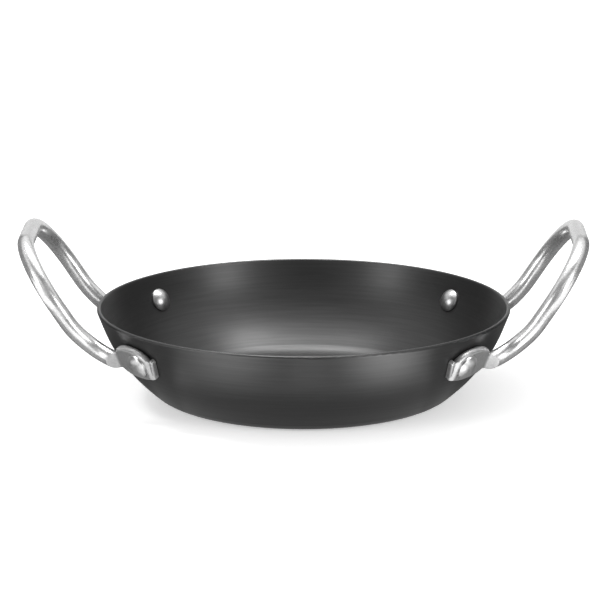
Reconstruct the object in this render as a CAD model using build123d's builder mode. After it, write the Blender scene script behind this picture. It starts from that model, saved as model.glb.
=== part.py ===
from build123d import *
from math import radians, tan
import os

# A kadai: a round spun pan with two loop handles of bent round rod. Each rod end is coined into
# a paddle, laid on the outside of the wall and held by one rivet through paddle and wall.
# Millimetres and degrees. The origin is the centre of the flat base, +Z is up, and +X points
# to the right-hand handle.

# Pan: its outer outline is three straight lines, for base, lower wall and upper wall, and two bends
rim_radius = 102.6
pan_height = 44.5
flare = 9.8  # how far the upper wall leans out, from the belly corner to the rim
belly_height = 19.4  # where the lines of the lower and the upper wall would meet
belly_run = 21.5  # how far the lower wall runs out below that corner
base_bend_share = 0.2  # of the lower wall's line, from the base corner to where the bend ends
belly_bend_share = 0.62  # of the same line, from the belly corner down
wall = 2.0
rim_round_share = 0.46  # of the wall, so that the rim is almost fully round

# Rivets
rivet_azimuth = 38.9  # each side of the handle's own plane
rivet_below_rim = 13.9  # along the outer wall
shank_radius = 2.5
shank_clearance = 0.1
outer_head_radius = 6.2
inner_head_radius = 5.8
head_height = 3.5
head_edge = 0.9  # the short upright edge under the dome

# Handle rod: the corners of its centre line, each with its own bend. They are placed from the rim
# and the rivets
rod_radius = 4.1
grip_out = 32.8  # outside the rim
grip_rise = 35.7  # above the rim
knee_out = 8.4
knee_drop = 1.3
leg_inset = 15.9  # from a rivet to its leg, along Y
foot_run = 27.4  # from the rivet along the wall to the corner where the leg turns up
foot_drop = 1.5
grip_bend = 30.0
knee_bend = 40.0
foot_bend = 19.0

# Paddle: the coined rod end. Its runs are measured along the wall from the rivet
paddle_thickness = 3.8
paddle_width = 16.7
paddle_seat = 0.25  # how deep its inner face is hollowed by the wall that it hugs
paddle_round = 1.7
neck_run = 16.0  # towards the leg, where the rod is still round
ramp_run = 3.0
press_bend = 2.0  # where the die's flat turns up into the ramp or down to the valley
flat_run = 6.3  # towards the toe, as are the runs below
valley_run = 8.3
valley_thickness = 1.9
toe_run = 8.1
toe_length = 2.6
toe_width = 11.7
toe_thickness = 2.5
toe_drop = 1.95
toe_round_share = 0.42  # of its length
toe_tilt = 17

# The paddle's two long edges, from neck to valley: shares of its length and of its width
upper_edge_shares = ((1, 0.34), (0.84, 0.45), (0.55, 0.485), (0.34, 0.46), (0.16, 0.37), (0, 0.17))
lower_edge_shares = ((1, -0.33), (0.8, -0.47), (0.55, -0.52), (0.3, -0.51), (0.14, -0.47), (0, -0.42))

os.makedirs("parts", exist_ok=True)


def save(piece, name):
    piece.label = name
    export_step(piece, f"parts/{name}.step")


lower_line = Vector(belly_run, belly_height)
upper_line = Vector(flare, pan_height - belly_height)


def bend_radius(line_in, line_out, share):
    """The radius of a bend between two lines that takes up that share of the lower wall's line."""
    turn = radians(line_in.get_angle(line_out))
    return share * lower_line.length / tan(turn / 2)


base_bend = bend_radius(Vector(1, 0), lower_line, base_bend_share)
belly_bend = bend_radius(lower_line, upper_line, belly_bend_share)
belly_radius = rim_radius - flare


def outer_outline():
    """The pan's outer outline, from the centre of the base out and up to the rim."""
    return FilletPolyline(
        (0, 0),
        (belly_radius - belly_run, 0),
        (belly_radius, belly_height),
        (rim_radius, pan_height),
        radius=(base_bend, belly_bend),
    )


# The point of the outer wall that a rivet goes through, in the plane Y = 0, and the wall's
# directions there
with BuildLine(Plane.XZ) as skin:
    outer_outline()
skin_wire = skin.wire()
rivet_rise = skin_wire.length - rivet_below_rim
seat_point = skin_wire.position_at(rivet_rise, PositionMode.LENGTH)
up_wall = skin_wire.tangent_at(rivet_rise, PositionMode.LENGTH)
out_of_wall = Vector(0, 1, 0).cross(up_wall)


def seat_plane(azimuth):
    """Touches the outer wall at a rivet: X runs level round the pan, Y up the wall and Z out."""
    return Plane(
        origin=seat_point.rotate(Axis.Z, azimuth),
        x_dir=Vector(0, 1, 0).rotate(Axis.Z, azimuth),
        z_dir=out_of_wall.rotate(Axis.Z, azimuth),
    )


def side_plane(seat):
    """Cuts through a rivet's axis: its X is the seat's X, and its Y points out of the wall."""
    return Plane(origin=seat.origin, x_dir=seat.x_dir, z_dir=-seat.y_dir)


right_seats = {
    "right_front": seat_plane(-rivet_azimuth),
    "right_back": seat_plane(rivet_azimuth),
}
left_seats = {
    "left_back": seat_plane(180 - rivet_azimuth),
    "left_front": seat_plane(180 + rivet_azimuth),
}
rivet_seats = right_seats | left_seats
rod_diameter = 2 * rod_radius

# Pan
with BuildPart() as pan:
    with BuildSketch(Plane.XZ):
        with BuildLine():
            outline = outer_outline()
            offset(outline, amount=wall, side=Side.LEFT)
        make_face()
        rim_corners = vertices().sort_by(Axis.Y)[-2:]
        fillet(rim_corners, radius=rim_round_share * wall)
    revolve(axis=Axis.Z)
    with Locations(*rivet_seats.values()):
        Hole(radius=shank_radius + shank_clearance, depth=2 * wall)
save(pan.part, "pan")

# The space inside the pan's skin, which shapes whatever is laid on the wall
with BuildPart() as mandrel:
    with BuildSketch(Plane.XZ):
        with BuildLine():
            outline = outer_outline()
            Polyline(outline @ 1, (0, (outline @ 1).Y), (0, 0))
        make_face()
    revolve(axis=Axis.Z)

# The right handle's rod, from its front foot over the grip to its back foot. In the seat of the
# front foot, X runs towards the leg.
seat = right_seats["right_front"]
leg_place = seat.origin.Y + leg_inset
rod_start = seat.from_local_coords(Vector(neck_run / 2, 0, rod_radius))
foot_corner = seat.from_local_coords(Vector(foot_run, 0, rod_radius)) - Vector(0, 0, foot_drop)
front_half = [
    rod_start,
    foot_corner,
    Vector(rim_radius + knee_out, leg_place, pan_height - knee_drop),
    Vector(rim_radius + grip_out, leg_place, pan_height + grip_rise),
]
back_half = [Vector(point.X, -point.Y, point.Z) for point in reversed(front_half)]
half_bends = (foot_bend, knee_bend, grip_bend)

with BuildPart() as rod:
    with BuildLine() as rod_line:
        FilletPolyline(*front_half, *back_half, radius=half_bends + half_bends[::-1])
    with BuildSketch(Plane(origin=rod_line.wire() @ 0, z_dir=rod_line.wire() % 0)):
        Circle(rod_radius)
    sweep()

# The coining die's space above each paddle: ramp, flat, and the valley behind the toe
with BuildPart() as die:
    with BuildSketch(side_plane(seat)):
        with BuildLine():
            bed = FilletPolyline(
                (neck_run + 2 * ramp_run, 2 * rod_diameter - paddle_thickness),
                (neck_run, paddle_thickness),
                (-flat_run, paddle_thickness),
                (-valley_run, valley_thickness),
                (-toe_run - toe_length, valley_thickness),
                radius=press_bend,
            )
            Polyline(bed @ 1, ((bed @ 1).X, (bed @ 0).Y), bed @ 0)
        make_face()
    extrude(amount=paddle_width, both=True)
    mirror(about=Plane.XZ)


def paddle_edge(edge_shares):
    """One long edge of the paddle, from the neck to the valley."""
    paddle_length = neck_run + valley_run
    points = [
        (along * paddle_length - valley_run, across * paddle_width)
        for along, across in edge_shares
    ]
    return Spline(*points)


outward = Axis(seat.origin, seat.z_dir)

with BuildPart() as toe:
    with BuildSketch(seat.offset(-paddle_seat)):
        with Locations(Location((-toe_run, -toe_drop), toe_tilt)):
            SlotOverall(toe_width, toe_length, rotation=90)
    extrude(amount=paddle_seat + toe_thickness)
    fillet(toe.faces().sort_by(outward)[-1].edges(), radius=toe_round_share * toe_length)

with BuildPart() as feet:
    with BuildSketch(seat.offset(-paddle_seat)):
        with BuildLine():
            upper_edge = paddle_edge(upper_edge_shares)
            lower_edge = paddle_edge(lower_edge_shares)
            Line(upper_edge @ 0, lower_edge @ 0)
            Line(upper_edge @ 1, lower_edge @ 1)
        make_face()
    extrude(amount=paddle_seat + paddle_thickness)
    faces_outward = feet.faces().sort_by(outward)
    long_edges = [
        edge
        for face in (faces_outward[0], faces_outward[-1])
        for edge in face.edges().sort_by(SortBy.LENGTH)[-2:]
    ]
    fillet(long_edges, radius=paddle_round)
    add(die.part, mode=Mode.SUBTRACT)
    add(toe.part)
    mirror(about=Plane.XZ)

# Handles: the left one is the right one turned half round
with BuildPart() as handle_right:
    add(rod.part)
    add(die.part, mode=Mode.SUBTRACT)
    add(feet.part)
    add(mandrel.part, mode=Mode.SUBTRACT)
    with Locations(*right_seats.values()):
        Hole(radius=shank_radius + shank_clearance, depth=paddle_thickness + wall)
save(handle_right.part, "handle_right")

with BuildPart() as handle_left:
    add(handle_right.part, rotation=(0, 0, 180))
save(handle_left.part, "handle_left")


def head_outline(seat_height, sign, radius):
    """One domed rivet head, seen from the side: from its tip to the shank. sign points to its tip."""
    tip = (0, seat_height + sign * head_height)
    dome_edge = (radius, seat_height + sign * head_edge)
    dome = TangentArc(tip, dome_edge, tangent=(1, 0))
    Polyline(dome @ 1, (radius, seat_height), (shank_radius, seat_height))
    return dome


# Rivets: the outer head sits on the paddle, and the inner head is shaped by the wall under it
for place, rivet_seat in rivet_seats.items():
    with BuildPart() as rivet:
        with BuildSketch(side_plane(rivet_seat)):
            with BuildLine():
                outer_dome = head_outline(paddle_thickness, 1, outer_head_radius)
                inner_dome = head_outline(-wall, -1, inner_head_radius)
                Line((shank_radius, paddle_thickness), (shank_radius, -wall))
                Line(outer_dome @ 0, inner_dome @ 0)
            make_face()
        revolve(axis=Axis(rivet_seat.origin, rivet_seat.z_dir))
        add(pan.part, mode=Mode.SUBTRACT)
    save(rivet.part, f"rivet_{place}")
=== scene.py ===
import math

import bpy
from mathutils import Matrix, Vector


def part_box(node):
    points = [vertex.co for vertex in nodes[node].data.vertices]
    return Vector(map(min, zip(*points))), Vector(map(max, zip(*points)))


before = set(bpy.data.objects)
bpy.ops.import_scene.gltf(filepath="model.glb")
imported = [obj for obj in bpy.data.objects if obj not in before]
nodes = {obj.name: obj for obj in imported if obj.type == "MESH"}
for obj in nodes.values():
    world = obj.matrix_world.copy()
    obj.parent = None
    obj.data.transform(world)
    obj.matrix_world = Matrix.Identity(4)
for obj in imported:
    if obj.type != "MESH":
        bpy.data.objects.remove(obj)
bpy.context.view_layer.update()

# The kadai's look: a pan of dark spun metal, with handles and rivets of polished steel, in a plain
# studio. Lengths are in metres. Azimuths and elevations are in degrees, and azimuth 0 is at -Y,
# near the camera, and 90 at +X.

# Camera: found from the rim's ellipse, the base and the handles in the photograph
IMAGE_SIDE = 600  # pixels
PIXELS_PER_METRE = 2013  # at the target
TARGET = Vector((0, 0, 0.03))
TARGET_PIXEL = (303.6, 333.8)
CAMERA_AZIMUTH = 0.6
CAMERA_ELEVATION = 14.28
CAMERA_DISTANCE = 1.6
SENSOR_WIDTH = 36.0  # mm

# Noise runs from 0 to 1, but these bands hold most of it. The second is for the fine rings
NOISE_BAND = (0.3, 0.7)
FINE_BAND = (0.25, 0.75)

# Pan: rings of scratches round the axis. Each noise has its rings per metre along the wall, its
# changes per metre round the pan, where one scratch ends and the next begins, and its detail
RINGS_FINE = (2400, 60, 2.0)
RINGS_BROAD = (700, 30, 3.0)
FINE_SHARE = 0.5  # of the fine rings in the bump, against the broad ones
RING_DEPTH = 0.00004
RING_STRENGTH = 0.09
PAN_TONES = (0.052, 0.059)
PAN_ROUGHNESS = (0.35, 0.41)
PAN_METALLIC = 0.9
PAN_STRETCH = 0.45  # of a highlight, across the rings
PAN_STRETCH_TURN = 0.25  # of a full turn
# Painted highlight: the top of the pan's lip is coloured paler, standing for the highlight on its
# rounded edge
LIP_HIGHLIGHT_TONE = 0.06
LIP_HEIGHT = 0.0012
LIP_BLEND = 0.00036  # below the lip

# Steel: rougher near the pan along X, where its colour is darkened as painted shade for the dim
# reflections there, and bright further out. Each noise has its scale per metre and its detail
STEEL_TONE = 0.7
NEAR_PAN_REACH = 0.092
BRIGHT_REACH = 0.098
COINED_ROUGHER = 0.14
GRAIN = (900, 2.0)
GRAIN_LOW = 0.85
SMUDGES = (110, 3.0)
SWELLS = (190, 1.0)
SWELL_DEPTH = 0.0004
# The first value of each is the share of the steel's tone kept near the pan, where shade is painted
# into the colour
HANDLE_STEEL = dict(painted_shade_share=0.6, metallic=0.84, roughness=(0.19, 0.32), wave=0.1)
RIVET_STEEL = dict(painted_shade_share=0.7, metallic=0.95, roughness=(0.15, 0.25), wave=0.15)

# Floor and surrounding light. The glow brings the floor in the light up to white
FLOOR_SIDE = 12.0
FLOOR_COLOUR = 0.9
FLOOR_GLOW = 0.42
AMBIENT = 0.8

# Lamps: name, azimuth, elevation, size, power in watts, and whether metal mirrors it
LAMP_DISTANCE = 1.4
LAMPS = (
    ("shadow_key", -112, 51, (0.4, 0.4), 9, False),
    ("left_box", -53, 16, (0.45, 0.6), 5, True),
    ("right_box", 50, 16, (0.5, 0.6), 7, True),
)

# Surroundings that only mirrors see. A level of 1 is white. These are the heights of what lies on
# the floor, because some sheets lie over others
ON_FLOOR = 0.0005
UNDER_CARDS = ON_FLOOR / 2
OVER_CARDS = ON_FLOOR * 2

# Panels: name, azimuth, elevation, distance, size, level
PANELS = (
    ("overhead_panel", 165, 78, 1.3, (1.2, 0.45), 14),
)

# Upright cards: name, azimuth from and to, level, then radius and height of each of the two edges
CARD_STEPS = 24
CARDS = (
    ("card_room", 0, 360, 0.5, (1.7, ON_FLOOR), (1.7, 1.0)),
    ("card_camera", -20, 18, 0.26, (0.4, ON_FLOOR), (0.4, 0.4)),
    ("card_top", -80, 80, 0.22, (0.42, 0.4), (0.36, 0.85)),
    ("card_right", 80, 150, 0.17, (0.6, ON_FLOOR), (0.6, 0.35)),
    ("card_left", 210, 280, 0.17, (0.6, ON_FLOOR), (0.6, 0.35)),
    ("card_back", 150, 210, 0.9, (0.6, ON_FLOOR), (0.6, 0.25)),
)

# Cards that lie flat on the floor: name, azimuth from and to, level, inner and outer radius
FLOOR_CARDS = (
    ("floor_behind", 90, 270, 0.1, 0.07, 0.14),
    ("floor_far", 90, 270, 0.2, 0.14, 0.6),
    ("floor_right", 52, 72, 0.35, 0.07, 0.2),
    ("floor_side_right", 72, 90, 0.2, 0.07, 0.2),
    ("floor_left", -72, -52, 0.35, 0.07, 0.2),
    ("floor_side_left", -90, -72, 0.2, 0.07, 0.2),
    ("floor_near", -52, 52, 0.45, 0.05, 0.1),
)

# Soft patches on the floor: name, azimuth, radius, level in the middle and at the edge, height
PATCH_REACH = 0.07
PATCHES = (
    ("glow_right", 33, 0.165, 7.0, 1.0, UNDER_CARDS),
    ("glow_left", -28, 0.165, 4.2, 1.0, UNDER_CARDS),
    ("glow_back_right", 156, 0.16, 2.6, 0.15, OVER_CARDS),
    ("glow_back_left", 204, 0.16, 2.6, 0.15, OVER_CARDS),
)


def link(thing):
    bpy.context.scene.collection.objects.link(thing)
    return thing


def direction(azimuth, elevation):
    """The unit vector towards that azimuth and elevation."""
    around = math.radians(azimuth)
    up = math.radians(elevation)
    return Vector((
        math.sin(around) * math.cos(up),
        -math.cos(around) * math.cos(up),
        math.sin(up),
    ))


def aim(thing, azimuth, elevation, distance):
    """Puts thing at that place, seen from the target, and turns its -Z to the target."""
    place = TARGET + direction(azimuth, elevation) * distance
    thing.location = place
    thing.rotation_euler = (place - TARGET).to_track_quat("Z", "Y").to_euler()


def make_camera():
    lens = bpy.data.cameras.new("camera")
    lens.sensor_width = SENSOR_WIDTH
    lens.lens = SENSOR_WIDTH * CAMERA_DISTANCE * PIXELS_PER_METRE / IMAGE_SIDE
    lens.shift_x = (IMAGE_SIDE / 2 - TARGET_PIXEL[0]) / IMAGE_SIDE
    lens.shift_y = (TARGET_PIXEL[1] - IMAGE_SIDE / 2) / IMAGE_SIDE
    camera = link(bpy.data.objects.new("camera", lens))
    aim(camera, CAMERA_AZIMUTH, CAMERA_ELEVATION, CAMERA_DISTANCE)
    bpy.context.scene.camera = camera


class Nodes:
    """Builds a node tree in few words."""

    def __init__(self, tree):
        self.tree = tree
        tree.nodes.clear()

    def add(self, kind, settings=None, **inputs):
        """A new node. An input is found by its name, or by its number as i0, i1 and so on.

        Its value is a number, a colour or a socket to link from.
        """
        node = self.tree.nodes.new(kind)
        for name, value in (settings or {}).items():
            setattr(node, name, value)
        for name, value in inputs.items():
            numbered = name[0] == "i" and name[1:].isdigit()
            socket = node.inputs[int(name[1:]) if numbered else name]
            if isinstance(value, bpy.types.NodeSocket):
                self.tree.links.new(value, socket)
            else:
                socket.default_value = value
        return node

    def math(self, operation, *values):
        inputs = {f"i{i}": value for i, value in enumerate(values)}
        return self.add("ShaderNodeMath", {"operation": operation}, **inputs).outputs[0]

    def length(self, vector):
        node = self.add("ShaderNodeVectorMath", {"operation": "LENGTH"}, i0=vector)
        return node.outputs["Value"]

    def spread(self, value, low, high, to_low, to_high):
        """value from low..high to to_low..to_high, smoothly and clamped."""
        node = self.add("ShaderNodeMapRange", {"interpolation_type": "SMOOTHSTEP"}, **{
            "Value": value,
            "From Min": low,
            "From Max": high,
            "To Min": to_low,
            "To Max": to_high,
        })
        return node.outputs[0]

    def noise(self, vector, scale, detail):
        inputs = {"Vector": vector, "Scale": scale, "Detail": detail}
        return self.add("ShaderNodeTexNoise", None, **inputs).outputs["Fac"]

    def mix(self, share, a, b):
        """The colour a, b or between, by share."""
        # The node has A, B and Result for each kind of value. These numbers are the colours'
        node = self.add("ShaderNodeMix", {"data_type": "RGBA"}, i0=share, i6=a, i7=b)
        return node.outputs[2]

    def place(self):
        """The shaded point in its object's coordinates, which for a CAD node are the frame's."""
        return self.add("ShaderNodeTexCoord").outputs["Object"]

    def split(self, vector):
        """The vector's coordinates, by the names X, Y and Z."""
        return self.add("ShaderNodeSeparateXYZ", None, Vector=vector).outputs

    def join(self, **parts):
        """The vector with those coordinates, and 0 for one that isn't given."""
        return self.add("ShaderNodeCombineXYZ", None, **parts).outputs[0]

    def light(self, level):
        """A white glow of that level, 1 being white."""
        return self.add("ShaderNodeEmission", None, Color=grey(1.0), Strength=level).outputs[0]

    def finish(self, surface):
        """Makes the shader the material's surface."""
        self.add("ShaderNodeOutputMaterial", None, Surface=surface)


def grey(level):
    return (level, level, level, 1.0)


def new_material(name):
    material = bpy.data.materials.new(name)
    material.use_nodes = True
    return material, Nodes(material.node_tree)


def ring_noise(graph, parts, along_wall, rings, changes, detail):
    """Noise drawn out into rings round the pan's axis."""
    place = graph.join(
        X=graph.math("MULTIPLY", parts["X"], changes),
        Y=graph.math("MULTIPLY", parts["Y"], changes),
        Z=graph.math("MULTIPLY", along_wall, rings),
    )
    return graph.noise(place, 1.0, detail)


def pan_material():
    """Dark metal with rings round its axis, highlights stretched across them, and a lip painted
    paler as a highlight.
    """
    material, graph = new_material("pan_metal")
    parts = graph.split(graph.place())
    radius = graph.length(graph.join(X=parts["X"], Y=parts["Y"]))
    along_wall = graph.math("ADD", radius, parts["Z"])
    fine = ring_noise(graph, parts, along_wall, *RINGS_FINE)
    broad = ring_noise(graph, parts, along_wall, *RINGS_BROAD)
    # Painted highlight: the band at the top of the pan, the lip, gets the paler colour
    lip_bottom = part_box("pan")[1].z - LIP_HEIGHT
    lip_highlight = graph.spread(parts["Z"], lip_bottom - LIP_BLEND, lip_bottom, 0.0, 1.0)
    tone = graph.mix(graph.spread(broad, *NOISE_BAND, 0.0, 1.0), *map(grey, PAN_TONES))
    height = graph.math("ADD", graph.math("MULTIPLY", fine, FINE_SHARE), broad)
    bump = graph.add(
        "ShaderNodeBump", None, Strength=RING_STRENGTH, Distance=RING_DEPTH, Height=height
    )
    tangent = graph.add("ShaderNodeTangent", {"direction_type": "RADIAL", "axis": "Z"})
    metal = graph.add("ShaderNodeBsdfPrincipled", None, **{
        "Base Color": graph.mix(lip_highlight, tone, grey(LIP_HIGHLIGHT_TONE)),
        "Metallic": PAN_METALLIC,
        "Roughness": graph.spread(fine, *FINE_BAND, *PAN_ROUGHNESS),
        "Anisotropic": PAN_STRETCH,
        "Anisotropic Rotation": PAN_STRETCH_TURN,
        "Normal": bump.outputs[0],
        "Tangent": tangent.outputs[0],
    })
    graph.finish(metal.outputs[0])
    return material


def steel_material(name, painted_shade_share, metallic, roughness, wave):
    """Polished stainless with a slightly uneven surface. Near the pan it is rougher, and its colour
    is darkened as painted shade.
    """
    material, graph = new_material(name)
    place = graph.place()
    reach = graph.math("ABSOLUTE", graph.split(place)["X"])
    # Near the pan along X the steel is rougher, and its colour is darkened there as painted shade
    near_pan = graph.spread(reach, NEAR_PAN_REACH, BRIGHT_REACH, 1.0, 0.0)
    grain = graph.spread(graph.noise(place, *GRAIN), *NOISE_BAND, GRAIN_LOW, 1.0)
    tone = graph.spread(near_pan, 0.0, 1.0, STEEL_TONE, STEEL_TONE * painted_shade_share)
    level = graph.math("MULTIPLY", tone, grain)
    colour = graph.add("ShaderNodeCombineColor", None, Red=level, Green=level, Blue=level)
    smudge = graph.spread(graph.noise(place, *SMUDGES), *NOISE_BAND, *roughness)
    swell = graph.noise(place, *SWELLS)
    bump = graph.add("ShaderNodeBump", None, Strength=wave, Distance=SWELL_DEPTH, Height=swell)
    metal = graph.add("ShaderNodeBsdfPrincipled", None, **{
        "Base Color": colour.outputs[0],
        "Metallic": metallic,
        "Roughness": graph.math("MULTIPLY_ADD", near_pan, COINED_ROUGHER, smudge),
        "Normal": bump.outputs[0],
    })
    graph.finish(metal.outputs[0])
    return material


def dress_nodes():
    """Gives each CAD node its material, by the first word of its name."""
    materials = {
        "pan": pan_material(),
        "handle": steel_material("handle_steel", **HANDLE_STEEL),
        "rivet": steel_material("rivet_steel", **RIVET_STEEL),
    }
    for name in nodes:
        slots = nodes[name].data.materials
        slots.clear()
        slots.append(materials[name.split("_")[0]])


def seen_directly(graph):
    """1 for a ray from the camera, a mirror or glass, else 0."""
    ray = graph.add("ShaderNodeLightPath").outputs
    seen = graph.math("MAXIMUM", ray["Is Camera Ray"], ray["Is Glossy Ray"])
    return graph.math("MAXIMUM", seen, ray["Is Transmission Ray"])


def new_sheet(name, material_name, corners, faces):
    """A flat or round sheet, with the nodes of its material."""
    mesh = bpy.data.meshes.new(name)
    mesh.from_pydata(corners, [], faces)
    sheet = link(bpy.data.objects.new(name, mesh))
    material, graph = new_material(material_name)
    mesh.materials.append(material)
    return sheet, graph


def rectangle(width, depth):
    """The corners and the face of a level rectangle."""
    x, y = width / 2, depth / 2
    return [(-x, -y, 0), (x, -y, 0), (x, y, 0), (-x, y, 0)], [(0, 1, 2, 3)]


def make_floor():
    floor, graph = new_sheet("floor", "floor_white", *rectangle(FLOOR_SIDE, FLOOR_SIDE))
    paint = graph.add("ShaderNodeBsdfDiffuse", None, Color=grey(FLOOR_COLOUR))
    glow = graph.light(graph.math("MULTIPLY", seen_directly(graph), FLOOR_GLOW))
    both = graph.add("ShaderNodeAddShader", None, i0=paint.outputs[0], i1=glow)
    graph.finish(both.outputs[0])


def make_world():
    """A plain surrounding light. It is white where it is seen, and AMBIENT where it lights."""
    world = bpy.data.worlds.new("studio")
    world.use_nodes = True
    bpy.context.scene.world = world
    graph = Nodes(world.node_tree)
    strength = graph.spread(seen_directly(graph), 0.0, 1.0, AMBIENT, 1.0)
    light = graph.add("ShaderNodeBackground", None, Color=grey(1.0), Strength=strength)
    graph.add("ShaderNodeOutputWorld", None, Surface=light.outputs[0])


def make_lamp(name, azimuth, elevation, size, power, mirrored):
    """A soft box, turned to the target."""
    lamp = bpy.data.lights.new(name, "AREA")
    lamp.shape = "RECTANGLE"
    lamp.size, lamp.size_y = size
    lamp.energy = power
    light = link(bpy.data.objects.new(name, lamp))
    aim(light, azimuth, elevation, LAMP_DISTANCE)
    light.visible_glossy = mirrored


def mirror_sheet(name, corners, faces):
    """A stage sheet that only mirrors see, with the nodes of its material."""
    sheet, graph = new_sheet(name, name, corners, faces)
    sheet.visible_camera = False
    sheet.visible_diffuse = False
    sheet.visible_shadow = False
    return sheet, graph


def make_panel(name, azimuth, elevation, distance, size, level):
    """A flat bright panel, turned to the target."""
    sheet, graph = mirror_sheet(name, *rectangle(*size))
    aim(sheet, azimuth, elevation, distance)
    graph.finish(graph.light(level))


def make_card(name, start, end, level, *edges):
    """A card swept round the pan's axis, between two edges given by radius and height."""
    corners = []
    faces = []
    for i in range(CARD_STEPS + 1):
        turn = direction(start + (end - start) * i / CARD_STEPS, 0)
        corners += [(radius * turn.x, radius * turn.y, height) for radius, height in edges]
    for i in range(CARD_STEPS):
        first = 2 * i
        faces.append((first, first + 1, first + 3, first + 2))
    graph = mirror_sheet(name, corners, faces)[1]
    graph.finish(graph.light(level))


def make_patch(name, azimuth, radius, middle_level, edge_level, height):
    """A soft bright patch that lies on the floor and fades towards its edge."""
    sheet, graph = mirror_sheet(name, *rectangle(2 * PATCH_REACH, 2 * PATCH_REACH))
    sheet.location = direction(azimuth, 0) * radius + Vector((0, 0, height))
    from_middle = graph.length(graph.place())
    graph.finish(graph.light(graph.spread(from_middle, 0.0, PATCH_REACH, middle_level, edge_level)))


make_camera()
dress_nodes()
make_floor()
make_world()
for lamp in LAMPS:
    make_lamp(*lamp)
for panel in PANELS:
    make_panel(*panel)
for card in CARDS:
    make_card(*card)
for *card, inner_radius, outer_radius in FLOOR_CARDS:
    make_card(*card, (inner_radius, ON_FLOOR), (outer_radius, ON_FLOOR))
for patch in PATCHES:
    make_patch(*patch)

bpy.context.scene.view_settings.view_transform = "Standard"
